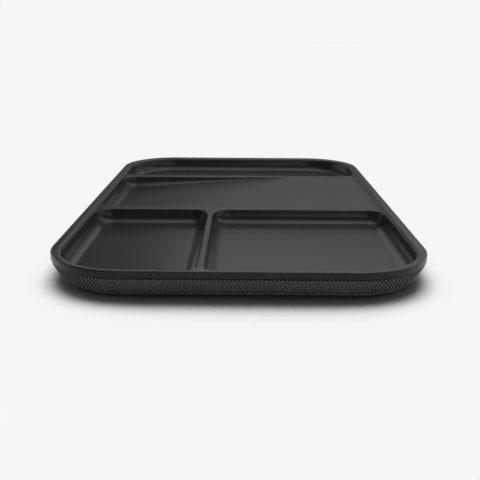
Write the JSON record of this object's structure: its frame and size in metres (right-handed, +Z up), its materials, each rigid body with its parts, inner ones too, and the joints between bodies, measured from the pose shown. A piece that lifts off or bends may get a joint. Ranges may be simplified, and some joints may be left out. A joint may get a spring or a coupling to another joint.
{
  "type": "catchall tray",
  "caption": "Shallow rectangular catchall tray with large rounded corners, divided compartments, a sloping middle floor and a tapered knurled base on low rubber pads.",
  "frame": {"origin": "centre of the footprint, on the surface that the rubber pads stand on", "axes": "+X to the right and +Y to the back as seen from the front, +Z up"},
  "size_m": [0.178, 0.28, 0.013],
  "materials": {
    "smooth_plastic": "charcoal, semi-matte with a fine grain",
    "knurled_plastic": "charcoal, moulded diamond knurl",
    "pad_rubber": "matte black",
    "screw_steel": "black oxide"
  },
  "bodies": {
    "root": {"tray_top": "smooth_plastic", "base_shell": "knurled_plastic", "foot_front_left": "pad_rubber", "foot_front_right": "pad_rubber", "foot_back_left": "pad_rubber", "foot_back_right": "pad_rubber", "screw_front": "screw_steel", "screw_centre": "screw_steel", "screw_middle_left": "screw_steel", "screw_middle_right": "screw_steel", "screw_back_left": "screw_steel", "screw_back_right": "screw_steel"}
  },
  "joints": []
}
